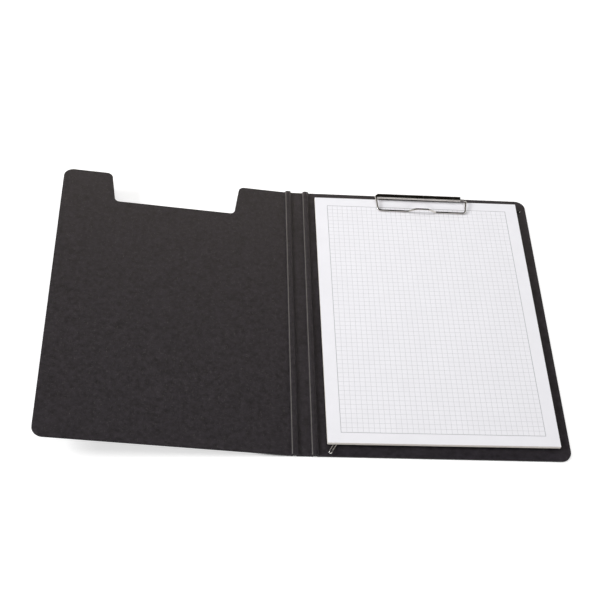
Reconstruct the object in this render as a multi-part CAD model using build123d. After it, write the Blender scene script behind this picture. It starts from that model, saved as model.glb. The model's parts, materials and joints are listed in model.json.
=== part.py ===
"""A4 clipboard folder: one pressed board with two creases, a wire clip and a squared pad.

Millimetres and degrees. +X runs across the open folder to the right, +Y up the page and +Z up.
The origin is the centre of the back panel's under side, the face that the folder lies on.
The folder is modelled open, as it lies on a table: the back panel is flat, the spine leans up
a little from the back crease, and the cover leans up a little more from the front crease.
"""
from build123d import *
import os
from math import asin, degrees

# Sheets that the folder is made for, and the pad of them
SHEET_WIDTH = 210.0
SHEET_HEIGHT = 297.0
TOP_SHEET_T = 0.1
SHEETS_T = 2.4
BACKING_T = 0.7
GLUE_T = 0.35            # dried glue on the pad's head
PAD_SKEW = 0.3           # how far the pad is turned on the board
PAD_CLEAR = 0.1          # between the pad and what it lies on

# Pressed board
BOARD_T = 2.0
MARGIN_INNER = 10.2      # from the back crease's line to the pad
MARGIN_OUTER = 10.7
MARGIN_TOP = 9.6
MARGIN_BOTTOM = 11.4
COVER_SETBACK = 3.0      # the cover is this much narrower than the back panel
CLOSED_ROOM = 9.3        # from the pad to the cover when the folder is shut
CORNER_R = 10.0
EDGE_BREAK = 0.25        # width of the broken edge all round a panel

# Creases: a bead pressed up to the inside, with a slightly domed top and a groove under it
CREASE_HALF = 4.0        # from a crease's line to the flat panel on either side
BEAD_HALF = 2.9          # half the bead's width
BEAD_HEIGHT = 2.6        # above the board's inside face
BEAD_CROWN_R = 7.0
BEAD_SHOULDER_R = 1.2
BEAD_WALL = 1.4
BEAD_FOOT_R = 0.6
GROOVE_LIP_R = 0.3

# How the open folder lies
SPINE_TILT = 0.4
COVER_TILT = 5.7

# Clip base: one strip of sheet metal, a flange under the pad and a rolled tube above its head
CLIP_T = 0.6
CLIP_LENGTH = 87.0
CLIP_OFFSET = 1.6        # of the clip's middle from the board's, towards the free edge
TUBE_R = 2.7
TUBE_OVER_PAD = 1.1      # between the pad's top and the tube
TUBE_BEHIND_PAD = 1.3    # from the pad's head back to the tube's line
ROLL_GAP = 0.4           # between the rolled edge and the web
FLANGE_DEPTH = 23.0
FLANGE_CORNER_R = 4.0
CLIP_BEND_R = 1.0

# Wire bail: its two ends sit at opposite sides of the tube, so it is twisted when it lies down
BAIL_WIRE_R = 0.95
BAIL_SPAN = 94.6         # leg to leg at the tube
BAIL_LEAN = 2.1          # how far each leg leans in on its way to the bar
BAIL_REACH = 17.6        # from the tube's line to the bar
BAIL_END_LENGTH = 12.0   # of each end inside the tube
BAIL_END_PLAY = 0.15     # between the left leg and the tube's end
BAIL_FIT = 0.05          # between the wire's ends and the tube's wall
BAIL_OVER_PAD = 0.3
LIFT_HEIGHT = 4.6        # of the finger lift in the middle of the bar
LIFT_TOP = 13.0
LIFT_FOOT = 28.5
BAIL_END_BEND_R = 2.2
BAIL_CORNER_R = 3.5
LIFT_FOOT_R = 3.0
LIFT_TOP_R = 9.0

# Notch in the cover's head, which leaves the clip free when the folder is shut
NOTCH_SIDE_ROOM = 7.5    # from the bail's right leg to the notch's side
NOTCH_FOOT_ROOM = 11.8   # from the bail's bar to the notch's foot
NOTCH_FLARE = 5.1        # how much wider the notch is at its mouth, each side
NOTCH_MOUTH_R = 6.0
NOTCH_FOOT_R = 4.8

# Rivets through the clip's flange
RIVET_SPACING = 56.0
RIVET_SHANK_R = 1.9
RIVET_HEAD_R = 3.8
RIVET_HEAD_T = 0.7
RIVET_CLINCH_R = 2.9
RIVET_CLINCH_T = 0.5
RIVET_BORE_R = 1.1
RIVET_BORE_DEPTH = 2.2
RIVET_FIT = 0.03
HEAD_RECESS = 0.1        # how far a rivet's head stays below the under side
RIVET_BREAK = 0.2        # width of the broken edges of the rivets' heads

# Keepers: wire loops whose legs are held flat under the pad, each by a rivet between them
KEEPER_WIRE_R = 0.5
KEEPER_SIDES = 12        # flat sides of the thin wire, few so that its bends stay light
KEEPER_WIDTH = 2.4       # leg to leg
KEEPER_BEND_R = 4.0
KEEPER_END_FLAT = 0.1    # straight left in the middle of a loop's round end
KEEPER_TAIL = 2.2        # how far the legs' ends reach past the rivet
KEEPER_HEAD_R = 2.8
KEEPER_HEAD_T = 0.4
KEEPER_FIT = 0.05

# Corner keeper: it comes out at the pad's lower left corner, with its end turned up
CORNER_KEEPER_TURN = 27.0      # its direction, from straight down the page towards the spine
CORNER_KEEPER_TIP_RISE = 2.9
CORNER_KEEPER_RISE_RUN = 10.6  # length of the part that rises
CORNER_KEEPER_FLAT_RUN = 10.0  # from the rivet to where it starts to rise
CORNER_KEEPER_FROM_EDGE = 7.1  # from the pad's left edge to where it comes out, along the pad's foot
CORNER_KEEPER_GAP = 0.9        # from the pad's foot to where it starts to rise

# Side keeper: it lies flat and comes out at the pad's right side, near the head
SIDE_KEEPER_FROM_HEAD = 5.3    # from the pad's head to the loop's middle
SIDE_KEEPER_OUT = 4.8          # how far its end reaches past the pad's side
SIDE_KEEPER_RUN = 14.0         # from the rivet to its end

# Worked out from the values above
board_width = MARGIN_INNER + SHEET_WIDTH + MARGIN_OUTER
board_height = MARGIN_TOP + SHEET_HEIGHT + MARGIN_BOTTOM
cover_width = board_width - COVER_SETBACK
crease_x = -board_width / 2
right_x = board_width / 2
top_y = board_height / 2

clip_stack = CLIP_T + RIVET_CLINCH_T
keeper_stack = 2 * KEEPER_WIRE_R + KEEPER_HEAD_T
pad_z = BOARD_T + max(clip_stack, keeper_stack) + PAD_CLEAR
pad_thickness = BACKING_T + SHEETS_T + TOP_SHEET_T
pad_top_z = pad_z + pad_thickness
pad_x = crease_x + MARGIN_INNER + SHEET_WIDTH / 2
pad_head_y = top_y - MARGIN_TOP
pad_foot_y = -top_y + MARGIN_BOTTOM
pad_y = (pad_head_y + pad_foot_y) / 2
spine_width = pad_top_z + CLOSED_ROOM + BOARD_T

tube_bore_r = TUBE_R - CLIP_T
tube_y = pad_head_y + TUBE_BEHIND_PAD
tube_z = pad_top_z + TUBE_OVER_PAD + TUBE_R
flange_front_y = tube_y + TUBE_R - FLANGE_DEPTH
rivet_y = flange_front_y + FLANGE_DEPTH / 2
clip_left_x = CLIP_OFFSET - CLIP_LENGTH / 2
clip_right_x = CLIP_OFFSET + CLIP_LENGTH / 2

end_offset = tube_bore_r - BAIL_WIRE_R - BAIL_FIT
bar_z = pad_top_z + BAIL_OVER_PAD + BAIL_WIRE_R
bail_tilt = degrees(asin((tube_z - bar_z) / BAIL_REACH))
lean_at_tube = BAIL_LEAN * (end_offset + TUBE_R) / (end_offset + BAIL_REACH)
bail_left_x = clip_left_x - BAIL_END_PLAY - BAIL_WIRE_R - lean_at_tube
bail_right_x = bail_left_x + BAIL_SPAN
bail_middle_x = (bail_left_x + bail_right_x) / 2

# Places of the panels: in each frame the panel runs to -X and its outside face is z = 0
back_line = Pos(crease_x, 0, 0)
spine_frame = back_line * Rot(0, SPINE_TILT, 0)
front_line = spine_frame * Pos(-spine_width, 0, 0)
cover_frame = front_line * Rot(0, COVER_TILT - SPINE_TILT, 0)

# Half the notch's width at its foot, and the place of its foot
notch_half = bail_right_x + BAIL_WIRE_R + NOTCH_SIDE_ROOM
notch_foot_y = tube_y - BAIL_REACH - NOTCH_FOOT_ROOM


def nearest(section, x, y):
    """The section's corner nearest to the given place."""
    return section.vertices().sort_by_distance((x, y, 0))[0]


def panel_slab(outline, inner_x):
    """A panel of the outline's shape, its edges broken but for those along the crease at inner_x."""
    slab = extrude(outline, BOARD_T)
    rims = slab.faces().sort_by(Axis.Z)[0].edges() + slab.faces().sort_by(Axis.Z)[-1].edges()
    free = [edge for edge in rims if abs(edge.center().X - inner_x) > EDGE_BREAK]
    return chamfer(free, EDGE_BREAK)


def rivet_cut(x, y, shank_r, head_r, head_t):
    """The hole through the back panel and the seat for a head under it."""
    hole = Pos(x, y, 0) * Cylinder(shank_r, BOARD_T, align=(Align.CENTER, Align.CENTER, Align.MIN))
    seat = Pos(x, y, 0) * Cylinder(head_r, head_t, align=(Align.CENTER, Align.CENTER, Align.MIN))
    return hole + seat


def back_panel():
    """The flat panel that carries the clip, with its two free corners rounded."""
    outline = Pos(right_x, 0) * Rectangle(
        board_width - CREASE_HALF, board_height, align=(Align.MAX, Align.CENTER))
    outline = fillet(outline.vertices().group_by(Axis.X)[-1], CORNER_R)
    panel = panel_slab(outline, crease_x + CREASE_HALF)
    for x, y in clip_rivet_places():
        panel -= rivet_cut(
            x, y, RIVET_SHANK_R + RIVET_FIT, RIVET_HEAD_R + RIVET_FIT, HEAD_RECESS + RIVET_HEAD_T)
    for frame in (corner_keeper_frame(), side_keeper_frame()):
        panel -= rivet_cut(
            frame.position.X, frame.position.Y, keeper_shank_r() + RIVET_FIT,
            KEEPER_HEAD_R + RIVET_FIT, HEAD_RECESS + KEEPER_HEAD_T)
    return panel


def spine_panel():
    """The narrow panel between the two creases."""
    strip = Pos(-spine_width / 2, 0) * Rectangle(spine_width - 2 * CREASE_HALF, board_height)
    slab = extrude(strip, BOARD_T)
    ends = slab.edges().filter_by(Axis.X)
    return spine_frame * chamfer(ends, EDGE_BREAK)


def cover_panel():
    """The cover, with rounded free corners and the notch for the clip in its head."""
    outline = Pos(-CREASE_HALF, 0) * Rectangle(
        cover_width - CREASE_HALF, board_height, align=(Align.MAX, Align.CENTER))
    corners = outline.vertices().group_by(Axis.X)[0]
    outline = fillet(corners, CORNER_R)
    middle = -board_width / 2
    mouth_half = notch_half + NOTCH_FLARE
    notch = make_face(Polyline(
        (middle - mouth_half, top_y),
        (middle - notch_half, notch_foot_y),
        (middle + notch_half, notch_foot_y),
        (middle + mouth_half, top_y),
        close=True))
    outline -= notch
    of_notch = [
        vertex for vertex in outline.vertices()
        if abs(vertex.X - middle) < mouth_half + EDGE_BREAK and vertex.Y > notch_foot_y - EDGE_BREAK]
    mouth = [vertex for vertex in of_notch if vertex.Y > notch_foot_y + EDGE_BREAK]
    outline = fillet(mouth, NOTCH_MOUTH_R)
    foot = [nearest(outline, middle + side * notch_half, notch_foot_y) for side in (-1, 1)]
    outline = fillet(foot, NOTCH_FOOT_R)
    return cover_frame * panel_slab(outline, -CREASE_HALF)


def crease(rest_angle):
    """A pressed crease about its own line, its left side leaning up by rest_angle."""
    half_strip = Rectangle(CREASE_HALF, BOARD_T, align=(Align.MIN, Align.MIN))
    other_half = Rectangle(CREASE_HALF, BOARD_T, align=(Align.MAX, Align.MIN))
    bead_top = BOARD_T + BEAD_HEIGHT
    bead = Pos(0, BOARD_T / 2) * Rectangle(
        2 * BEAD_HALF, bead_top - BOARD_T / 2, align=(Align.CENTER, Align.MIN))
    bead &= Pos(0, bead_top - BEAD_CROWN_R) * Circle(BEAD_CROWN_R)
    shoulders = [nearest(bead, x, bead_top) for x in (-BEAD_HALF, BEAD_HALF)]
    bead = fillet(shoulders, BEAD_SHOULDER_R)
    section = half_strip + Rot(0, 0, -rest_angle) * other_half + bead
    section = fillet([nearest(section, x, BOARD_T) for x in (-BEAD_HALF, BEAD_HALF)], BEAD_FOOT_R)
    groove_r = BEAD_HALF - BEAD_WALL
    groove_z = bead_top - BEAD_WALL - groove_r
    groove = Pos(0, groove_z) * Circle(groove_r)
    groove += Rectangle(2 * groove_r, 2 * groove_z, align=(Align.CENTER, Align.CENTER))
    section -= groove
    section = fillet([nearest(section, x, 0) for x in (-groove_r, groove_r)], GROOVE_LIP_R)
    return extrude(Plane.XZ * section, board_height / 2, both=True)


def clip_rivet_places():
    """Centres of the two rivets that hold the clip."""
    return [(CLIP_OFFSET + side * RIVET_SPACING / 2, rivet_y) for side in (-1, 1)]


def clip_base():
    """Flange, web and rolled tube, bent from one strip."""
    web_back_y = tube_y + TUBE_R
    web_front_y = web_back_y - CLIP_T
    section = Pos(tube_y, tube_z) * (Circle(TUBE_R) - Circle(tube_bore_r))
    section -= Pos(web_front_y, tube_z) * Rectangle(
        ROLL_GAP, TUBE_R, align=(Align.MAX, Align.MAX))
    web_height = tube_z - BOARD_T
    web = Pos(web_back_y, BOARD_T) * Rectangle(CLIP_T, web_height, align=(Align.MAX, Align.MIN))
    flange = Pos(web_back_y, BOARD_T) * Rectangle(
        FLANGE_DEPTH, CLIP_T, align=(Align.MAX, Align.MIN))
    section += web + flange
    section = fillet(nearest(section, web_front_y, BOARD_T + CLIP_T), CLIP_BEND_R)
    section = fillet(nearest(section, web_back_y, BOARD_T), CLIP_BEND_R + CLIP_T)
    strip = Pos(CLIP_OFFSET, 0, 0) * extrude(Plane.YZ * section, CLIP_LENGTH / 2, both=True)
    front_corners = strip.edges().filter_by(Axis.Z).group_by(Axis.Y)[0]
    strip = fillet(front_corners, FLANGE_CORNER_R)
    for x, y in clip_rivet_places():
        strip -= Pos(x, y, BOARD_T) * Cylinder(RIVET_SHANK_R + RIVET_FIT, 2 * CLIP_T)
    return strip


def clip_rivet():
    """A tubular rivet: flat head below, clinched over the flange above, origin at the head's face."""
    head_z = RIVET_HEAD_T
    flange_z = BOARD_T - HEAD_RECESS + CLIP_T
    clinch_z = flange_z + RIVET_CLINCH_T
    section = Rectangle(RIVET_HEAD_R, head_z, align=(Align.MIN, Align.MIN))
    section += Rectangle(RIVET_SHANK_R, clinch_z, align=(Align.MIN, Align.MIN))
    section += Pos(0, flange_z) * Rectangle(
        RIVET_CLINCH_R, RIVET_CLINCH_T, align=(Align.MIN, Align.MIN))
    section -= Pos(0, clinch_z) * Rectangle(
        RIVET_BORE_R, RIVET_BORE_DEPTH, align=(Align.MIN, Align.MAX))
    rims = [nearest(section, x, clinch_z) for x in (RIVET_CLINCH_R, RIVET_BORE_R)]
    return revolve(Plane.XZ * chamfer(rims, RIVET_BREAK), Axis.Z)


def clip_rivets():
    """Both rivets of the clip, as separate solids."""
    return Compound([Pos(x, y, HEAD_RECESS) * clip_rivet() for x, y in clip_rivet_places()])


def wire(points, radii, section):
    """Wire of the section along straight runs, with a bend of the given radius at each corner."""
    path = FilletPolyline(*points, radius=radii)
    return sweep(Plane(path @ 0, z_dir=path % 0) * section, path)


def wire_bail():
    """The sprung wire that presses the sheets down, with a finger lift in its bar."""
    points = [
        (clip_left_x + BAIL_END_LENGTH, end_offset, 0),
        (bail_left_x, end_offset, 0),
        (bail_left_x + BAIL_LEAN, -BAIL_REACH, 0),
        (bail_middle_x - LIFT_FOOT / 2, -BAIL_REACH, 0),
        (bail_middle_x - LIFT_TOP / 2, -BAIL_REACH, LIFT_HEIGHT),
        (bail_middle_x + LIFT_TOP / 2, -BAIL_REACH, LIFT_HEIGHT),
        (bail_middle_x + LIFT_FOOT / 2, -BAIL_REACH, 0),
        (bail_right_x - BAIL_LEAN, -BAIL_REACH, 0),
        (bail_right_x, -end_offset, 0),
        (clip_right_x - BAIL_END_LENGTH, -end_offset, 0),
    ]
    half = [BAIL_END_BEND_R, BAIL_CORNER_R, LIFT_FOOT_R, LIFT_TOP_R]
    bail = wire(points, half + half[::-1], Circle(BAIL_WIRE_R))
    return Pos(0, tube_y, tube_z) * Rot(bail_tilt, 0, 0) * bail


def corner_keeper_frame():
    """Frame of the corner keeper: origin at its rivet on the board, -Y towards its raised end."""
    left_x = pad_x - SHEET_WIDTH / 2
    out = Pos(left_x + CORNER_KEEPER_FROM_EDGE, pad_foot_y - CORNER_KEEPER_GAP, BOARD_T)
    return out * Rot(0, 0, -CORNER_KEEPER_TURN) * Pos(0, CORNER_KEEPER_FLAT_RUN, 0)


def side_keeper_frame():
    """Frame of the side keeper: origin at its rivet on the board, -Y towards its end."""
    end_x = pad_x + SHEET_WIDTH / 2 + SIDE_KEEPER_OUT
    end = Pos(end_x, pad_head_y - SIDE_KEEPER_FROM_HEAD, BOARD_T)
    return end * Rot(0, 0, 90) * Pos(0, SIDE_KEEPER_RUN, 0)


def keeper_shank_r():
    """A keeper's rivet fills the space between the wire's two legs."""
    return KEEPER_WIDTH / 2 - KEEPER_WIRE_R - KEEPER_FIT


def keeper_loop(corners):
    """A wire loop on the board, from the (y, z) corners of its legs between the rivet and its end."""
    leg_x = KEEPER_WIDTH / 2
    end_r = (KEEPER_WIDTH - KEEPER_END_FLAT) / 2
    leg = [(KEEPER_TAIL, 0), *corners]
    points = [(-leg_x, y, z) for y, z in leg] + [(leg_x, y, z) for y, z in reversed(leg)]
    bends = [KEEPER_BEND_R] * (len(corners) - 1)
    section = RegularPolygon(KEEPER_WIRE_R, KEEPER_SIDES)
    return Pos(0, 0, KEEPER_WIRE_R) * wire(points, [*bends, end_r, end_r, *bends], section)


def corner_keeper():
    """The loop at the pad's lower left corner, whose end rises clear of the pad's edge."""
    rise_y = -CORNER_KEEPER_FLAT_RUN
    tip_y = rise_y - CORNER_KEEPER_RISE_RUN
    return corner_keeper_frame() * keeper_loop([(rise_y, 0), (tip_y, CORNER_KEEPER_TIP_RISE)])


def side_keeper():
    """The flat loop at the pad's right side."""
    return side_keeper_frame() * keeper_loop([(KEEPER_WIRE_R - SIDE_KEEPER_RUN, 0)])


def keeper_rivet(frame):
    """A small solid rivet: a head below, and a flat one that holds the wire down."""
    wire_top = BOARD_T - HEAD_RECESS + 2 * KEEPER_WIRE_R
    section = Rectangle(KEEPER_HEAD_R, KEEPER_HEAD_T, align=(Align.MIN, Align.MIN))
    section += Rectangle(keeper_shank_r(), wire_top, align=(Align.MIN, Align.MIN))
    section += Pos(0, wire_top) * Rectangle(
        KEEPER_HEAD_R, KEEPER_HEAD_T, align=(Align.MIN, Align.MIN))
    section = chamfer(nearest(section, KEEPER_HEAD_R, wire_top + KEEPER_HEAD_T), RIVET_BREAK)
    place = Pos(frame.position.X, frame.position.Y, HEAD_RECESS)
    return place * revolve(Plane.XZ * section, Axis.Z)


def pad_layer(bottom, thickness):
    """One layer of the pad, at the given height in it."""
    layer = extrude(Rectangle(SHEET_WIDTH, SHEET_HEIGHT), thickness)
    return Pos(pad_x, pad_y, pad_z + bottom) * Rot(0, 0, PAD_SKEW) * layer


def pad_glue():
    """The dried glue along the head of the sheets and the backing card."""
    height = BACKING_T + SHEETS_T
    strip = Box(SHEET_WIDTH, GLUE_T, height, align=(Align.CENTER, Align.MIN, Align.MIN))
    strip = fillet(strip.edges().filter_by(Axis.X).group_by(Axis.Y)[-1], GLUE_T / 2)
    frame = Pos(pad_x, pad_y, pad_z) * Rot(0, 0, PAD_SKEW)
    return frame * Pos(0, SHEET_HEIGHT / 2, 0) * strip


parts = {
    "back_panel": back_panel(),
    "spine_panel": spine_panel(),
    "cover_panel": cover_panel(),
    "back_crease": back_line * crease(SPINE_TILT),
    "front_crease": front_line * crease(COVER_TILT - SPINE_TILT),
    "clip_base": clip_base(),
    "clip_rivets": clip_rivets(),
    "wire_bail": wire_bail(),
    "corner_keeper": corner_keeper(),
    "corner_keeper_rivet": keeper_rivet(corner_keeper_frame()),
    "side_keeper": side_keeper(),
    "side_keeper_rivet": keeper_rivet(side_keeper_frame()),
    "pad_backing": pad_layer(0, BACKING_T),
    "pad_sheets": pad_layer(BACKING_T, SHEETS_T),
    "pad_top_sheet": pad_layer(BACKING_T + SHEETS_T, TOP_SHEET_T),
    "pad_glue": pad_glue(),
}

os.makedirs("parts", exist_ok=True)
for name, shape in parts.items():
    export_step(shape, f"parts/{name}.step")

front_place = front_line.position
print(f"folder {board_width:.1f} x {board_height:.1f}, cover {cover_width:.1f}, spine {spine_width:.1f}")
print(f"front crease line at x {front_place.X:.3f}, z {front_place.Z:.3f}")
print(f"tube line at y {tube_y:.3f}, z {tube_z:.3f}; bail tilt {bail_tilt:.2f}")
print(f"pad from z {pad_z:.2f} to {pad_top_z:.2f}")
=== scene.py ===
"""Looks of an A4 clipboard folder: pressed board, pressed creases, a nickel clip and a squared pad.

Metres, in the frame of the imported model: +X across the open folder, +Y up the page and +Z up.
The file is laid out as a Blender add-on and is run as a script.
"""

import json
import math
import random

import bmesh
import bpy
from bpy.props import FloatProperty, FloatVectorProperty, IntProperty, PointerProperty
from mathutils import Euler, Matrix, Vector

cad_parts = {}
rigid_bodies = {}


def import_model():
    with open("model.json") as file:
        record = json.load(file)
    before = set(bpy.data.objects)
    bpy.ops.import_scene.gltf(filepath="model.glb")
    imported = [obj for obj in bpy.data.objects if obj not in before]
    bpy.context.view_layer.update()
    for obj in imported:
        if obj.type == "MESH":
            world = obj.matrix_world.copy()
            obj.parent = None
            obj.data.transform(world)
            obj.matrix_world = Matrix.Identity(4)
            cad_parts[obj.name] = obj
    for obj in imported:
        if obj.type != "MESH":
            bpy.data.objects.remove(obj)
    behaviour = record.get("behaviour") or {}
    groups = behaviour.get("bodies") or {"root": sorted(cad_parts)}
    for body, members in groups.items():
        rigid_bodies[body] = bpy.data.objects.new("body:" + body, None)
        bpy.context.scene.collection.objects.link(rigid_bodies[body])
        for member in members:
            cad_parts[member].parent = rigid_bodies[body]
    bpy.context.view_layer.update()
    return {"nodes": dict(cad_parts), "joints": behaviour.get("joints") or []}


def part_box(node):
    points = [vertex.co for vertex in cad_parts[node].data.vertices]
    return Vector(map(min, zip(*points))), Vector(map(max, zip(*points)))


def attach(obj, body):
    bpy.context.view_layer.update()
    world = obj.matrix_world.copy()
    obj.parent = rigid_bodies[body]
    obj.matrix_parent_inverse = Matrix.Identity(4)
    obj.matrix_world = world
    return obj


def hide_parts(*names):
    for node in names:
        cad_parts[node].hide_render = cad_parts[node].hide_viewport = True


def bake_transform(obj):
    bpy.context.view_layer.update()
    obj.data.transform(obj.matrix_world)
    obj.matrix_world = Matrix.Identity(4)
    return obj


bl_info = {
    "name": "Clipboard Folder",
    "version": (1, 0, 0),
    "blender": (4, 5, 0),
    "location": "3D View > Sidebar > Clipboard Folder",
    "description": "Dresses the parts of an A4 clipboard folder",
    "category": "Object",
}

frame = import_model()
nodes = frame["nodes"]
joints = {joint["name"]: joint for joint in frame["joints"]}

MM = 0.001
BOARD_FINISH = "pressed_board"

# Places and angles read from the frame
back_line_x = joints["spine_fold"]["pos_m"][0]
front_line_x = joints["cover_fold"]["pos_m"][0]
front_line_z = joints["cover_fold"]["pos_m"][2]
spine_tilt = math.radians(90 - joints["spine_fold"]["range_deg"][1])
cover_tilt = spine_tilt + math.radians(90 - joints["cover_fold"]["range_deg"][1])
board_low, board_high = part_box("back_panel")
board_thickness = board_high.z
crease_half = board_low.x - back_line_x
pad_low, pad_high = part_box("pad_sheets")
sheet_low, sheet_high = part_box("pad_top_sheet")


class FolderBoard(bpy.types.PropertyGroup):
    """The black pressed board."""

    color: FloatVectorProperty(
        name="Board colour", description="Colour of the board's faces",
        subtype="COLOR", size=3, min=0, max=1, default=(0.0276, 0.0224, 0.0300))
    fibre_color: FloatVectorProperty(
        name="Fibre colour", description="Colour of the paler fibres and of the cut edges",
        subtype="COLOR", size=3, min=0, max=1, default=(0.070, 0.064, 0.062))
    # Painted highlight: the colour given to the beads' left shoulders, which face the lamp on the
    # left
    highlight_color: FloatVectorProperty(
        name="Rubbed colour", description="Colour where the beads' left shoulders are rubbed",
        subtype="COLOR", size=3, min=0, max=1, default=(0.165, 0.155, 0.142))
    bead_half: FloatProperty(
        name="Bead half width", description="Half the width of the bead along each crease",
        unit="LENGTH", min=1 * MM, default=2.9 * MM)
    crown_radius: FloatProperty(
        name="Crown radius", description="Radius of the bead's slightly domed top",
        unit="LENGTH", min=1 * MM, default=7.0 * MM)
    shoulder_radius: FloatProperty(
        name="Shoulder radius", description="Radius between the bead's top and its sides",
        unit="LENGTH", min=0.1 * MM, default=1.2 * MM)
    bead_height: FloatProperty(
        name="Bead height", description="Height of the bead above the board's inside face",
        unit="LENGTH", min=0, default=2.6 * MM)
    bead_wall: FloatProperty(
        name="Bead wall", description="Thickness of the board over the groove",
        unit="LENGTH", min=0.5 * MM, default=1.4 * MM)
    foot_radius: FloatProperty(
        name="Foot radius", description="Radius between the bead and the flat board",
        unit="LENGTH", min=0.1 * MM, default=0.6 * MM)
    unevenness: FloatProperty(
        name="Unevenness", description="How far the bead's height strays along the crease",
        unit="LENGTH", min=0, default=0.06 * MM)


class FolderPad(bpy.types.PropertyGroup):
    """The writing pad and its print."""

    skew: FloatProperty(
        name="Skew", description="How far the pad is turned on the board",
        subtype="ANGLE", default=math.radians(0.3))
    width: FloatProperty(
        name="Sheet width", description="Width of a sheet", unit="LENGTH", default=210 * MM)
    height: FloatProperty(
        name="Sheet height", description="Height of a sheet", unit="LENGTH", default=297 * MM)
    leaves: IntProperty(
        name="Leaves", description="Leaves that show at the pad's edges", min=2, default=24)
    stray: FloatProperty(
        name="Stray", description="How far a leaf lies off the stack",
        unit="LENGTH", min=0, default=0.22 * MM)
    square: FloatProperty(
        name="Square", description="Pitch of the printed squares", unit="LENGTH", default=5 * MM)
    columns: IntProperty(name="Columns", description="Squares across the print", default=37)
    rows: IntProperty(name="Rows", description="Squares down the print", default=55)
    line: FloatProperty(
        name="Line", description="Width of the squares' lines", unit="LENGTH", default=0.28 * MM)
    border: FloatProperty(
        name="Border", description="Width of the line round the print",
        unit="LENGTH", default=0.45 * MM)
    paper_color: FloatVectorProperty(
        name="Paper colour", description="Colour of the top sheet's face",
        subtype="COLOR", size=3, min=0, max=1, default=(0.862, 0.858, 0.897))
    edge_color: FloatVectorProperty(
        name="Edge colour", description="Colour of the leaves' stacked edges",
        subtype="COLOR", size=3, min=0, max=1, default=(0.82, 0.79, 0.76))
    card_color: FloatVectorProperty(
        name="Card colour", description="Colour of the backing card",
        subtype="COLOR", size=3, min=0, max=1, default=(0.74, 0.71, 0.67))
    ink_color: FloatVectorProperty(
        name="Ink colour", description="Colour of the printed lines",
        subtype="COLOR", size=3, min=0, max=1, default=(0.36, 0.36, 0.38))


class FolderMetal(bpy.types.PropertyGroup):
    """The plated clip, wires and rivets."""

    color: FloatVectorProperty(
        name="Plating colour", description="Colour of the bright plating of the clip and its wire",
        subtype="COLOR", size=3, min=0, max=1, default=(0.68, 0.65, 0.61))
    keeper_color: FloatVectorProperty(
        name="Keeper colour", description="Colour of the wire loops that keep the pad",
        subtype="COLOR", size=3, min=0, max=1, default=(0.90, 0.88, 0.85))
    rivet_color: FloatVectorProperty(
        name="Rivet colour", description="Colour of the dull rivets",
        subtype="COLOR", size=3, min=0, max=1, default=(0.52, 0.51, 0.49))


class FolderStudio(bpy.types.PropertyGroup):
    """The camera and the light."""

    camera_place: FloatVectorProperty(
        name="Camera place", description="Where the camera stands",
        subtype="XYZ", unit="LENGTH", size=3, default=(-0.2217, -0.7404, 0.9315))
    camera_azimuth: FloatProperty(
        name="Azimuth", description="Turn of the view to the right of +Y",
        subtype="ANGLE", default=math.radians(7.759))
    camera_elevation: FloatProperty(
        name="Elevation", description="How far the view looks down",
        subtype="ANGLE", default=math.radians(50.592))
    camera_roll: FloatProperty(
        name="Roll", description="Turn of the camera about its own line of sight",
        subtype="ANGLE", default=math.radians(7.868))
    focal_length: FloatProperty(
        name="Focal length", description="Focal length in millimetres on a 36 mm sensor",
        min=1, default=74.83)
    shift_x: FloatProperty(
        name="Shift", description="Sideways shift of the lens, in widths of the picture",
        default=-0.01)
    world_light: FloatProperty(
        name="Surrounding light", description="Strength of the light from all round",
        min=0, default=0.32)
    key_light: FloatProperty(
        name="Key light", description="Power of the lamp on the left in watts",
        min=0, default=186.0)
    top_light: FloatProperty(
        name="Top light", description="Power of the lamp over the clip in watts",
        min=0, default=2.1)
    front_light: FloatProperty(
        name="Front light", description="Power in watts of the low lamp in front, off the board",
        min=0, default=520.0)
    board_light: FloatProperty(
        name="Board light", description="Power in watts of the low lamp behind, only on the board",
        min=0, default=3.6)


def add(tree, kind, inputs=None, **settings):
    """A new node of the tree, with its settings, and each input given as a value or a socket."""
    made = tree.nodes.new(kind)
    for name, value in settings.items():
        setattr(made, name, value)
    for name, value in (inputs or {}).items():
        socket = made.inputs[name]
        if isinstance(value, bpy.types.NodeSocket):
            tree.links.new(value, socket)
        else:
            socket.default_value = value
    return made


def math_node(tree, operation, first, second=0.0):
    """The value of a math operation on two values or sockets."""
    return add(tree, "ShaderNodeMath", {0: first, 1: second}, operation=operation).outputs[0]


def mixed(tree, factor, first, second):
    """The colour mixed from two colours or colour sockets, which are the node's inputs 6 and 7."""
    made = add(
        tree, "ShaderNodeMix", {"Factor": factor, 6: first, 7: second}, data_type="RGBA")
    return made.outputs[2]


def mapped(tree, value, low=0.0, high=1.0, new_low=0.0, new_high=1.0, smooth=False):
    """The value moved from one range to another, and held within it."""
    kind = "SMOOTHSTEP" if smooth else "LINEAR"
    inputs = {
        "Value": value, "From Min": low, "From Max": high, "To Min": new_low, "To Max": new_high}
    return add(tree, "ShaderNodeMapRange", inputs, interpolation_type=kind).outputs["Result"]


def noise(tree, place, scale, detail=2.0, roughness=0.5):
    """Noise of the given scale, features per metre."""
    inputs = {"Vector": place, "Scale": scale, "Detail": detail, "Roughness": roughness}
    return add(tree, "ShaderNodeTexNoise", inputs).outputs["Fac"]


def own_place(tree):
    """The place on a piece, in its own frame."""
    return add(tree, "ShaderNodeTexCoord").outputs["Object"]


def stretched(tree, place, scale, turn=0.0):
    """The place scaled along each axis, then turned about Z, so that noise becomes strands."""
    return add(tree, "ShaderNodeMapping", {
        "Vector": place, "Scale": scale, "Rotation": (0.0, 0.0, turn)}).outputs["Vector"]


def opaque(color, share=1.0):
    """A share of a colour of three numbers, with full alpha."""
    return (*(share * part for part in color), 1.0)


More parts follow.
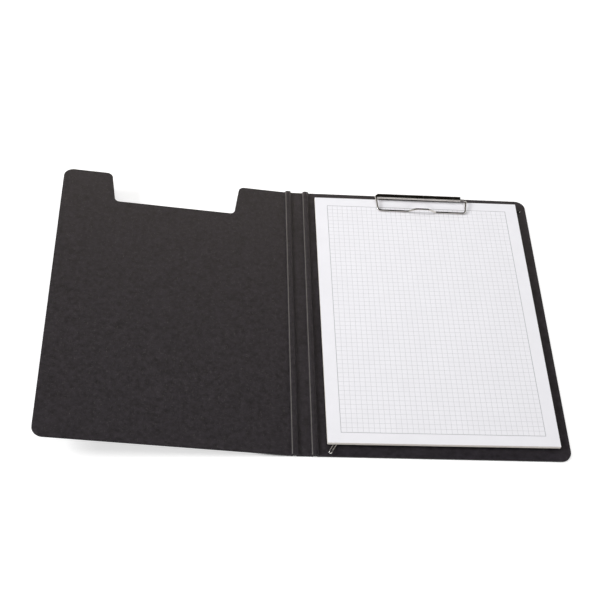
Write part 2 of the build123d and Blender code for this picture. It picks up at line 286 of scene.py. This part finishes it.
def new_group(name, inputs, outputs):
    """An empty shader group: inputs are (name, default) and all sockets are numbers."""
    tree = bpy.data.node_groups.new(name, "ShaderNodeTree")
    for label, default in inputs:
        socket = tree.interface.new_socket(
            name=label, in_out="INPUT", socket_type="NodeSocketFloat")
        socket.default_value = default
    for label in outputs:
        tree.interface.new_socket(name=label, in_out="OUTPUT", socket_type="NodeSocketFloat")
    return tree, add(tree, "NodeGroupInput").outputs, add(tree, "NodeGroupOutput").inputs


def placed(tree, name, build, inputs=None):
    """Outputs of a shared group in a material; the first material that asks for it builds it."""
    group = bpy.data.node_groups.get(name) or build(name)
    return add(tree, "ShaderNodeGroup", inputs, node_tree=group).outputs


def build_fibres(name):
    """Pulp fibres of board and paper: mottled patches, pale flecks and a height."""
    tree, ins, outs = new_group(
        name, [("Mottle Scale", 150.0), ("Grain Scale", 1400.0)], ["Mottle", "Flecks", "Height"])
    place = own_place(tree)
    mottle = noise(tree, place, ins["Mottle Scale"], detail=4.0, roughness=0.62)
    grain = noise(tree, place, ins["Grain Scale"], detail=3.0, roughness=0.6)
    lengthwise = stretched(tree, place, (1.0, 0.22, 1.0))
    crosswise = stretched(tree, place, (0.25, 1.0, 1.0), turn=math.radians(35))
    fibres = math_node(
        tree, "MAXIMUM", noise(tree, lengthwise, ins["Grain Scale"]),
        noise(tree, crosswise, ins["Grain Scale"]))
    fibre_share, grain_share = 0.55, 0.45
    height = math_node(
        tree, "ADD", math_node(tree, "MULTIPLY", fibres, fibre_share),
        math_node(tree, "MULTIPLY", grain, grain_share))
    tree.links.new(mapped(tree, mottle, low=0.3, high=0.7), outs["Mottle"])
    tree.links.new(mapped(tree, fibres, low=0.62, high=0.76, smooth=True), outs["Flecks"])
    tree.links.new(height, outs["Height"])
    return tree


def build_cut_edge(name):
    """Mask of the sheared sides of a flat piece, from its own surface direction."""
    tree, ins, outs = new_group(name, [("Flat From", 0.9)], ["Mask"])
    direction = add(tree, "ShaderNodeTexCoord").outputs["Normal"]
    up = add(tree, "ShaderNodeSeparateXYZ", {0: direction}).outputs["Z"]
    mask = mapped(
        tree, math_node(tree, "ABSOLUTE", up), low=0.25, high=ins["Flat From"],
        new_low=1.0, new_high=0.0)
    tree.links.new(mask, outs["Mask"])
    return tree


def build_handling(name):
    """Marks of handling on plated metal: smudges for the gloss and hair scratches."""
    tree, ins, outs = new_group(
        name, [("Smudge Scale", 90.0), ("Scratch Scale", 900.0)], ["Smudges", "Height"])
    place = own_place(tree)
    smudges = noise(tree, place, ins["Smudge Scale"], detail=3.0, roughness=0.6)
    hairs = stretched(tree, place, (0.06, 1.0, 1.0))
    scratches = noise(tree, hairs, ins["Scratch Scale"], detail=3.0, roughness=0.7)
    tree.links.new(mapped(tree, smudges, low=0.35, high=0.7, smooth=True), outs["Smudges"])
    tree.links.new(mapped(tree, scratches, low=0.45, high=0.62), outs["Height"])
    return tree


def pulp_fibres(tree, mottle_scale, grain_scale):
    """Outputs of the shared fibres, at the scales of one material."""
    return placed(tree, "Pulp fibres", build_fibres, {
        "Mottle Scale": mottle_scale, "Grain Scale": grain_scale})


def cut_edge(tree):
    """The shared mask of sheared sides."""
    return placed(tree, "Cut edge", build_cut_edge)["Mask"]


def new_material(name, **constants):
    """A material and its tree; values constant over the surface stand on the shader's sockets."""
    material = bpy.data.materials.new(name)
    material.use_nodes = True
    tree = material.node_tree
    for label, value in constants.items():
        tree.nodes["Principled BSDF"].inputs[label.replace("_", " ")].default_value = value
    return material, tree


def surfaced(material, color, roughness, height, relief):
    """The material with its colour, its roughness and a height of so many metres fed in."""
    tree = material.node_tree
    bump = add(tree, "ShaderNodeBump", {"Height": height, "Distance": relief})
    fed = {"Base Color": color, "Roughness": roughness, "Normal": bump.outputs["Normal"]}
    for label, value in fed.items():
        tree.links.new(value, tree.nodes["Principled BSDF"].inputs[label])
    return material


def pressboard(settings):
    """Black pressed board: mottled pulp, paler fibres, rough sheared sides, and a painted highlight
    on the beads' left shoulders.
    """
    dark_share, fleck_share, edge_share = 0.36, 0.55, 0.12
    material, tree = new_material(BOARD_FINISH, Specular_IOR_Level=0.4)
    fibres = pulp_fibres(tree, mottle_scale=240.0, grain_scale=1500.0)
    edge = cut_edge(tree)
    pale = opaque(settings.fibre_color)
    faces = mixed(
        tree, fibres["Mottle"], opaque(settings.color, dark_share), opaque(settings.color))
    flecked = mixed(
        tree, math_node(tree, "MULTIPLY", fibres["Flecks"], fleck_share), faces, pale)
    sheared = mixed(tree, math_node(tree, "MULTIPLY", edge, edge_share), flecked, pale)
    # Painted highlight: the beads' left shoulders, which face the lamp on the left, are painted
    # paler and made smoother, broken up by the mottle
    rubbed = add(tree, "ShaderNodeAttribute", attribute_name="rubbed").outputs["Fac"]
    highlight_mask = math_node(tree, "MULTIPLY", rubbed, mapped(tree, fibres["Mottle"], new_low=0.75))
    rough = mapped(tree, fibres["Mottle"], new_low=0.5, new_high=0.6)
    polished = mapped(tree, highlight_mask, new_low=rough, new_high=0.4)
    edge_roughness = math_node(tree, "MULTIPLY", edge, 0.85)
    return surfaced(
        material, mixed(tree, highlight_mask, sheared, opaque(settings.highlight_color)),
        math_node(tree, "MAXIMUM", polished, edge_roughness), fibres["Height"],
        relief=0.06 * MM)


def plating(name, color, roughness):
    """Plated metal with fine scratches, and smudges that range through its roughness."""
    dim_share = 0.82
    material, tree = new_material(name, Metallic=1.0)
    marks = placed(tree, "Handling marks", build_handling)
    return surfaced(
        material, mixed(tree, marks["Smudges"], opaque(color), opaque(color, dim_share)),
        mapped(tree, marks["Smudges"], new_low=roughness[0], new_high=roughness[1]),
        marks["Height"], relief=0.004 * MM)


def line_mask(tree, coordinate, pitch, width):
    """Mask of thin lines, one at every whole pitch along one coordinate."""
    phase = math_node(tree, "FRACT", math_node(
        tree, "ADD", math_node(tree, "DIVIDE", coordinate, pitch), 0.5))
    away = math_node(tree, "ABSOLUTE", math_node(tree, "SUBTRACT", phase, 0.5))
    return math_node(tree, "LESS_THAN", away, width / pitch / 2)


def band_mask(tree, coordinate, reach):
    """Mask of the places within reach of a coordinate's zero."""
    return math_node(tree, "LESS_THAN", math_node(tree, "ABSOLUTE", coordinate), reach)


def print_mask(tree, settings):
    """Mask of the ink: thin squares inside a full border, laid out in the sheet's own frame."""
    square_ink = 0.68
    centre = (sheet_low + sheet_high) / 2
    moved = add(
        tree, "ShaderNodeVectorMath", {0: own_place(tree), 1: centre}, operation="SUBTRACT")
    turned = add(tree, "ShaderNodeVectorRotate", {
        "Vector": moved.outputs[0], "Angle": -settings.skew}, rotation_type="Z_AXIS")
    across, down, _ = add(tree, "ShaderNodeSeparateXYZ", {0: turned.outputs[0]}).outputs
    lines, insides, outsides = [], [], []
    for coordinate, count in ((across, settings.columns), (down, settings.rows)):
        half = count * settings.square / 2
        from_side = math_node(tree, "ADD", coordinate, half)
        lines.append(line_mask(tree, from_side, settings.square, settings.line))
        insides.append(band_mask(tree, coordinate, half))
        outsides.append(band_mask(tree, coordinate, half + settings.border))
    inside = math_node(tree, "MULTIPLY", *insides)
    border = math_node(tree, "SUBTRACT", math_node(tree, "MULTIPLY", *outsides), inside)
    squares = math_node(tree, "MULTIPLY", math_node(tree, "MAXIMUM", *lines), inside)
    return math_node(tree, "MAXIMUM", math_node(tree, "MULTIPLY", squares, square_ink), border)


def squared_paper(settings):
    """White paper with printed squares inside a border."""
    mottle_share = 0.965
    material, tree = new_material("squared_paper", Specular_IOR_Level=0.3)
    fibres = pulp_fibres(tree, mottle_scale=60.0, grain_scale=2600.0)
    mottle = fibres["Mottle"]
    white = settings.paper_color
    paper = mixed(tree, mottle, opaque(white, mottle_share), opaque(white))
    printed = math_node(
        tree, "MULTIPLY", print_mask(tree, settings), mapped(tree, mottle, new_low=0.8))
    return surfaced(
        material, mixed(tree, printed, paper, opaque(settings.ink_color)),
        mapped(tree, mottle, new_low=0.72, new_high=0.82), fibres["Height"],
        relief=0.012 * MM)


def plain_paper(name, color, pitch, roughness):
    """Stacked paper or card: fibres, painted shade in bands up the leaves' edges, and fine lines at
    the edges of the leaves.
    """
    mottle_share, gap_shade_shares, gap_width, spread = 0.94, (0.52, 0.48, 0.43), 0.2 * pitch, 0.05
    material, tree = new_material(name, Specular_IOR_Level=0.25)
    fibres = pulp_fibres(tree, mottle_scale=220.0, grain_scale=2200.0)
    edge = cut_edge(tree)
    place = own_place(tree)
    layers = noise(tree, stretched(tree, place, (0.02, 0.02, 1.0)), 1.6 / pitch, detail=1.0)
    # Painted shade: the leaves' edges darken in uneven bands up the stack, toward a shaded copy of
    # the colour, as shade falls between the leaves
    shade = math_node(tree, "MULTIPLY", edge, mapped(
        tree, layers, low=0.35, high=0.65, new_low=0.1, new_high=0.55))
    body = mixed(tree, fibres["Mottle"], opaque(color, mottle_share), opaque(color))
    # The shaded copy of the colour, for the painted shade between the leaves
    shaded = opaque([share * part for share, part in zip(gap_shade_shares, color)])
    up = add(tree, "ShaderNodeSeparateXYZ", {0: place}).outputs["Z"]
    gaps = math_node(tree, "MULTIPLY", line_mask(tree, up, pitch, gap_width), edge)
    return surfaced(
        material, mixed(tree, shade, body, shaded),
        mapped(tree, fibres["Mottle"], new_low=roughness - spread, new_high=roughness + spread),
        math_node(tree, "SUBTRACT", fibres["Height"], gaps), relief=0.02 * MM)


def dried_glue():
    """Milky dried glue with the drag marks of its brush."""
    thin, thick = (0.70, 0.71, 0.70), (0.82, 0.82, 0.80)
    material, tree = new_material("dried_glue")
    drawn = stretched(tree, own_place(tree), (0.15, 1.0, 1.0))
    drags = noise(tree, drawn, scale=700.0, detail=3.0)
    return surfaced(
        material, mixed(tree, drags, opaque(thin), opaque(thick)),
        mapped(tree, drags, low=0.3, high=0.7, new_low=0.3, new_high=0.5), drags,
        relief=0.05 * MM)


def dress(node, material):
    """Gives a carried-over part its material."""
    nodes[node].material_slots[0].material = material


def mesh_piece(name, verts, faces, material):
    """A new mesh object, in the scene, with one material and outward faces."""
    mesh = bpy.data.meshes.new(name)
    mesh.from_pydata(verts, [], faces)
    mesh.materials.append(material)
    shell = bmesh.new()
    shell.from_mesh(mesh)
    bmesh.ops.recalc_face_normals(shell, faces=shell.faces)
    shell.to_mesh(mesh)
    shell.free()
    piece = bpy.data.objects.new(name, mesh)
    bpy.context.scene.collection.objects.link(piece)
    return piece


def ring_faces(rings, count):
    """Faces of a closed body made of rings of points, count in each, with both ends capped."""
    sides = [
        (ring * count + at, ring * count + (at + 1) % count,
         (ring + 1) * count + (at + 1) % count, (ring + 1) * count + at)
        for ring in range(rings - 1) for at in range(count)]
    return [*sides, tuple(range(count)), tuple(range((rings - 1) * count, rings * count))]


def arc(centre, radius, start, end, steps):
    """Points along an arc, angles in degrees, from start to end."""
    points = []
    for step in range(steps + 1):
        angle = math.radians(start + (end - start) * step / steps)
        points.append((centre[0] + radius * math.cos(angle), centre[1] + radius * math.sin(angle)))
    return points


def straight(start, end, steps):
    """Points along a straight run, without its last one."""
    run, rise = end[0] - start[0], end[1] - start[1]
    return [
        (start[0] + run * step / steps, start[1] + rise * step / steps) for step in range(steps)]


def crease_profile(settings):
    """Closed outline of a flat crease from its right end over the bead: (across, up, painted
    highlight share).
    """
    thick = board_thickness
    half, foot_r, shoulder_r = settings.bead_half, settings.foot_radius, settings.shoulder_radius
    top = thick + settings.bead_height
    crown_z = top - settings.crown_radius
    shoulder_x = half - shoulder_r
    shoulder_z = crown_z + math.sqrt((settings.crown_radius - shoulder_r) ** 2 - shoulder_x ** 2)
    meeting = math.degrees(math.atan2(shoulder_z - crown_z, shoulder_x))
    side = straight((crease_half, thick), (half + foot_r, thick), steps=3)
    side += arc((half + foot_r, thick + foot_r), foot_r, 270, 180, steps=6)
    shoulder = arc((shoulder_x, shoulder_z), shoulder_r, 0, meeting, steps=9)
    crown = arc((0, crown_z), settings.crown_radius, meeting, 90, steps=8)[1:]
    right = [(*point, 0.0) for point in side]
    right += [
        (*point, math.sin(math.pi * step / (len(shoulder) - 1)) ** 3)
        for step, point in enumerate(shoulder)]
    right += [(*point, 0.0) for point in crown]
    # Painted highlight: only the left shoulder, which faces the lamp on the left, is painted paler,
    # and its middle most
    over = [(x, z, 0.0) for x, z, _ in right]
    over += [(-x, z, highlight) for x, z, highlight in reversed(right[:-1])]
    groove_r = half - settings.bead_wall
    groove_z = top - settings.bead_wall - groove_r
    lip_r = 0.3 * MM
    lip_x = groove_r + lip_r
    under = straight((-crease_half, 0), (-lip_x, 0), steps=5)
    under += arc((-lip_x, lip_r), lip_r, -90, 0, steps=4)
    under += straight((-groove_r, lip_r), (-groove_r, groove_z), steps=3)[1:]
    under += arc((0, groove_z), groove_r, 180, 90, steps=9)
    under = [(*point, 0.0) for point in under]
    return over + under + [(-x, z, highlight) for x, z, highlight in reversed(under[:-1])]


def crease_piece(name, settings, material, rest_angle):
    """A pressed crease about its own line, bent over its whole width to its angle at rest."""
    profile = crease_profile(settings)
    draws = random.Random(name)
    # Waves of the unevenness: size, radians per metre and start
    waves = [
        (draws.uniform(0.4, 1), draws.uniform(30, 160), draws.uniform(0, 2 * math.pi))
        for _ in range(5)]
    reach, rim, rows = board_high.y, 0.25 * MM, 48
    stations = [
        -reach, -reach + rim, *[-reach + 2 * reach * row / rows for row in range(1, rows)],
        reach - rim, reach]
    middle, end_share = board_thickness / 2, 0.94
    verts = []
    for y in stations:
        stray = sum(size * math.sin(pitch * y + turn) for size, pitch, turn in waves)
        lift = 1 + stray / len(waves) * settings.unevenness / settings.bead_height
        tuck = end_share if abs(y) == reach else 1.0
        for x, z, _ in profile:
            if z > board_thickness:
                z = board_thickness + (z - board_thickness) * lift
            z = middle + (z - middle) * tuck
            share = (crease_half - x) / (2 * crease_half)
            angle = rest_angle * share * share * (3 - 2 * share)
            verts.append((
                x * math.cos(angle) + z * math.sin(angle), y,
                -x * math.sin(angle) + z * math.cos(angle)))
    piece = mesh_piece(name, verts, ring_faces(len(stations), len(profile)), material)
    # Share of the painted highlight at each point, a little uneven along the crease
    highlights = [highlight * draws.uniform(0.85, 1.0) for _ in stations for _, _, highlight in profile]
    piece.data.attributes.new("rubbed", "FLOAT", "POINT").data.foreach_set("value", highlights)
    for face in piece.data.polygons:
        face.use_smooth = True
    piece.data.set_sharp_from_angle(angle=math.radians(40))
    return piece


def leaf_block(settings, material):
    """The pad's sheets as one closed stack, each leaf a little off the others."""
    draws = random.Random(7)
    centre = (pad_low + pad_high) / 2
    step = (pad_high.z - pad_low.z) / settings.leaves
    stray_turn = 0.02
    corners = [
        Vector((side_x * settings.width / 2, side_y * settings.height / 2, 0))
        for side_x, side_y in ((-1, -1), (1, -1), (1, 1), (-1, 1))]
    verts = []
    for leaf in range(settings.leaves):
        shift = Vector((draws.uniform(-1, 1), draws.uniform(-1, 0), 0)) * settings.stray
        off_square = math.radians(draws.uniform(-stray_turn, stray_turn))
        turn = Matrix.Rotation(settings.skew + off_square, 4, "Z")
        for z in (pad_low.z + leaf * step, pad_low.z + (leaf + 1) * step):
            for corner in corners:
                spot = turn @ corner + shift
                verts.append((centre.x + spot.x, centre.y + spot.y, z))
    return mesh_piece("leaf_stack", verts, ring_faces(2 * settings.leaves, 4), material)


class FOLDER_OT_panels(bpy.types.Operator):
    """Finish the cover, the spine and the back in black pressed board."""

    bl_idname = "folder.panels"
    bl_label = "Panels"

    def execute(self, context):
        board = pressboard(context.scene.folder_board)
        for node in ("back_panel", "spine_panel", "cover_panel"):
            dress(node, board)
        return {"FINISHED"}


class FOLDER_OT_creases(bpy.types.Operator):
    """Make both pressed creases, each bent to its angle at rest."""

    bl_idname = "folder.creases"
    bl_label = "Creases"

    def execute(self, context):
        settings = context.scene.folder_board
        board = bpy.data.materials[BOARD_FINISH]
        across = Vector((crease_half, 0, 0))
        back = crease_piece("back_crease_bead", settings, board, spine_tilt)
        back.location = (back_line_x, 0, 0)
        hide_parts("back_crease")
        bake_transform(back)
        front = crease_piece("front_crease_bead", settings, board, cover_tilt - spine_tilt)
        front.location = (front_line_x, 0, front_line_z)
        front.rotation_euler = (0, spine_tilt, 0)
        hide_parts("front_crease")
        across = Euler((0, spine_tilt, 0)).to_matrix() @ across
        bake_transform(front)
        return {"FINISHED"}


class FOLDER_OT_clip(bpy.types.Operator):
    """Plate the clip's strip, its wire and the rivets."""

    bl_idname = "folder.clip"
    bl_label = "Clip"

    def execute(self, context):
        settings = context.scene.folder_metal
        dress("clip_base", plating("clip_plating", settings.color, roughness=(0.08, 0.2)))
        dress("wire_bail", plating("wire_plating", settings.color, roughness=(0.04, 0.10)))
        rivets = plating("rivet_plating", settings.rivet_color, roughness=(0.28, 0.42))
        for node in ("clip_rivets", "corner_keeper_rivet", "side_keeper_rivet"):
            dress(node, rivets)
        return {"FINISHED"}


class FOLDER_OT_keepers(bpy.types.Operator):
    """Plate the wire loops at the pad's lower corner and at its side."""

    bl_idname = "folder.keepers"
    bl_label = "Keepers"

    def execute(self, context):
        color = context.scene.folder_metal.keeper_color
        wire = plating("keeper_plating", color, roughness=(0.15, 0.25))
        for node in ("corner_keeper", "side_keeper"):
            dress(node, wire)
        return {"FINISHED"}


class FOLDER_OT_pad(bpy.types.Operator):
    """Make the pad: its squared top sheet, its leaves, its card and its glue."""

    bl_idname = "folder.pad"
    bl_label = "Pad"

    def execute(self, context):
        settings = context.scene.folder_pad
        pitch = (pad_high.z - pad_low.z) / settings.leaves
        dress("pad_top_sheet", squared_paper(settings))
        leaf_paper = plain_paper("leaf_paper", settings.edge_color, pitch, roughness=0.8)
        leaves = leaf_block(settings, leaf_paper)
        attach(leaves, "pad")
        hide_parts("pad_sheets")
        dress("pad_backing", plain_paper(
            "backing_card", settings.card_color, 3 * pitch, roughness=0.85))
        dress("pad_glue", dried_glue())
        return {"FINISHED"}


class FOLDER_OT_studio(bpy.types.Operator):
    """Set up the floor, the light and the camera."""

    bl_idname = "folder.studio"
    bl_label = "Studio"

    def execute(self, context):
        settings = context.scene.folder_studio
        make_floor()
        make_flag()
        make_world(settings)
        make_lamps(settings)
        make_camera(settings)
        context.scene.view_settings.view_transform = "Standard"
        return {"FINISHED"}


def seen_directly(tree):
    """1 for what the camera sees, also in metal and through glass."""
    path = add(tree, "ShaderNodeLightPath").outputs
    shown = math_node(tree, "MAXIMUM", path["Is Camera Ray"], path["Is Glossy Ray"])
    return math_node(tree, "MAXIMUM", shown, path["Is Transmission Ray"])


def make_floor():
    """A pale floor that reads white to the camera, but for the folder's shadow and a painted shade
    in close gaps.
    """
    half_side, below = 8.0, 0.2 * MM
    pale, paler, painted_gap_shade = (0.78, 0.78, 0.78), (0.80, 0.80, 0.80), (0.10, 0.10, 0.10)
    material, tree = new_material("studio_floor", Roughness=1.0, Specular_IOR_Level=0.0)
    shader = tree.nodes["Principled BSDF"]
    place = own_place(tree)
    cloud = mixed(tree, noise(tree, place, scale=0.8, detail=1.0), opaque(pale), opaque(paler))
    # Painted shade: within a few millimetres of the folder the floor's colour turns dark and its
    # glow fades
    nearby = add(tree, "ShaderNodeAmbientOcclusion", {"Distance": 5 * MM}, samples=8)
    openness = mapped(tree, nearby.outputs["AO"], low=0.36, high=0.56)
    tree.links.new(mixed(tree, openness, opaque(painted_gap_shade), cloud), shader.inputs["Base Color"])
    # The glow makes up for what the lamps don't give: half by the folder, more far away, and it
    # fades out in close gaps as painted shade
    away = add(tree, "ShaderNodeVectorMath", {0: place}, operation="LENGTH").outputs["Value"]
    lack = mapped(tree, away, low=0.6, high=3.0, new_low=0.5, new_high=0.85, smooth=True)
    lift = math_node(tree, "MULTIPLY", openness, lack)
    glow = add(tree, "ShaderNodeEmission", {
        "Strength": math_node(tree, "MULTIPLY", seen_directly(tree), lift)})
    both = add(tree, "ShaderNodeAddShader", {0: shader.outputs[0], 1: glow.outputs[0]})
    tree.links.new(both.outputs[0], tree.nodes["Material Output"].inputs["Surface"])
    verts = [(half_side * x, half_side * y, 0) for x, y in ((-1, -1), (1, -1), (1, 1), (-1, 1))]
    floor = mesh_piece("studio_floor", verts, [(0, 1, 2, 3)], material)
    floor.location.z = -below


def make_flag():
    """A dark arch over the folder, seen only in polished metal, which gives it its black bands."""
    radius, half_width, steps = 2.6, 2.2, 30
    front_angle, rear_angle = 170, 8
    material, tree = new_material("studio_flag", Roughness=1.0, Specular_IOR_Level=0.0)
    cloth = mixed(
        tree, noise(tree, own_place(tree), scale=2.0), opaque((0.012, 0.011, 0.009)),
        opaque((0.03, 0.028, 0.024)))
    tree.links.new(cloth, tree.nodes["Principled BSDF"].inputs["Base Color"])
    line = arc((0, 0), radius, rear_angle, front_angle, steps)
    verts = [(side * half_width, across, up) for across, up in line for side in (-1, 1)]
    faces = [(2 * at, 2 * at + 1, 2 * at + 3, 2 * at + 2) for at in range(steps)]
    flag = mesh_piece("studio_flag", verts, faces, material)
    flag.visible_camera = False
    flag.visible_diffuse = False
    flag.visible_shadow = False


def make_world(settings):
    """White surroundings: plain light for the folder, and white where they are seen."""
    world = bpy.data.worlds.new("studio_world")
    world.use_nodes = True
    tree = world.node_tree
    background = tree.nodes["Background"]
    background.inputs["Color"].default_value = (1, 1, 1, 1)
    tree.links.new(
        mapped(tree, seen_directly(tree), new_low=settings.world_light),
        background.inputs["Strength"])
    bpy.context.scene.world = world


def area_lamp(name, watts, size, place, color=(1, 1, 1), mirrored=False):
    """A soft rectangular lamp that faces the folder; unmirrored, polished metal doesn't show it."""
    lamp = bpy.data.lights.new(name, "AREA")
    lamp.shape = "RECTANGLE"
    lamp.size, lamp.size_y = size
    lamp.energy = watts
    lamp.color = color
    stand = bpy.data.objects.new(name, lamp)
    bpy.context.scene.collection.objects.link(stand)
    stand.location = place
    stand.rotation_euler = (-Vector(place)).to_track_quat("-Z", "Y").to_euler()
    stand.visible_camera = False
    stand.visible_glossy = mirrored
    return stand


def light_only(stand, board):
    """Keeps a lamp's light to the pieces of pressed board, or to all the others."""
    lit = bpy.data.collections.new(stand.name + "_pieces")
    for piece in bpy.data.objects:
        if piece.material_slots and (piece.material_slots[0].name == BOARD_FINISH) == board:
            lit.objects.link(piece)
    stand.light_linking.receiver_collection = lit


def make_lamps(settings):
    """Soft lamps: on the left, over the clip, low in front off the board, low behind on it."""
    area_lamp(
        "key_lamp", settings.key_light, size=(1.6, 1.6), place=(-4.8, 0.24, 2.7), mirrored=True)
    area_lamp(
        "top_lamp", settings.top_light, size=(0.9, 0.4), place=(-0.15, 0.22, 0.7),
        color=(1.0, 0.98, 0.95))
    front = area_lamp(
        "front_lamp", settings.front_light, size=(6.0, 2.4), place=(0.8, -10.0, 3.2))
    light_only(front, board=False)
    behind = area_lamp(
        "board_lamp", settings.board_light, size=(1.5, 0.25), place=(-0.1, 0.92, 0.36),
        color=(1.0, 0.91, 0.70), mirrored=True)
    light_only(behind, board=True)


def make_camera(settings):
    """The camera at the photograph's place, from its azimuth, elevation and roll."""
    azimuth, elevation = settings.camera_azimuth, settings.camera_elevation
    ahead = Vector((
        math.sin(azimuth) * math.cos(elevation), math.cos(azimuth) * math.cos(elevation),
        -math.sin(elevation)))
    level = Vector((math.cos(azimuth), -math.sin(azimuth), 0))
    upward = level.cross(ahead)
    turn = Matrix.Rotation(-settings.camera_roll, 3, ahead)
    right, up = turn @ level, turn @ upward
    data = bpy.data.cameras.new("camera")
    data.lens = settings.focal_length
    data.sensor_width = 36.0
    data.shift_x = settings.shift_x
    data.clip_start, data.clip_end = 0.01, 100.0
    camera = bpy.data.objects.new("camera", data)
    bpy.context.scene.collection.objects.link(camera)
    camera.matrix_world = Matrix.Translation(settings.camera_place) @ Matrix(
        (right, up, -ahead)).transposed().to_4x4()
    bpy.context.scene.camera = camera


class FOLDER_PT_sidebar(bpy.types.Panel):
    """The folder's steps in the 3D view's sidebar."""

    bl_idname = "FOLDER_PT_sidebar"
    bl_label = "Clipboard Folder"
    bl_space_type = "VIEW_3D"
    bl_region_type = "UI"
    bl_category = "Clipboard Folder"

    def draw(self, context):
        for step in STEPS:
            self.layout.operator(step.bl_idname)


STEPS = (
    FOLDER_OT_panels, FOLDER_OT_creases, FOLDER_OT_clip, FOLDER_OT_keepers, FOLDER_OT_pad,
    FOLDER_OT_studio)
GROUPS = {
    "folder_board": FolderBoard, "folder_pad": FolderPad, "folder_metal": FolderMetal,
    "folder_studio": FolderStudio}


def register():
    """Registers the settings, the steps and the sidebar."""
    for name, group in GROUPS.items():
        bpy.utils.register_class(group)
        setattr(bpy.types.Scene, name, PointerProperty(type=group))
    for step in (*STEPS, FOLDER_PT_sidebar):
        bpy.utils.register_class(step)


def unregister():
    """Removes what register added."""
    for step in (FOLDER_PT_sidebar, *reversed(STEPS)):
        bpy.utils.unregister_class(step)
    for name, group in reversed(GROUPS.items()):
        delattr(bpy.types.Scene, name)
        bpy.utils.unregister_class(group)


def main():
    """Runs every step."""
    register()
    bpy.ops.folder.panels()
    bpy.ops.folder.creases()
    bpy.ops.folder.clip()
    bpy.ops.folder.keepers()
    bpy.ops.folder.pad()
    bpy.ops.folder.studio()


if __name__ == "__main__":
    main()
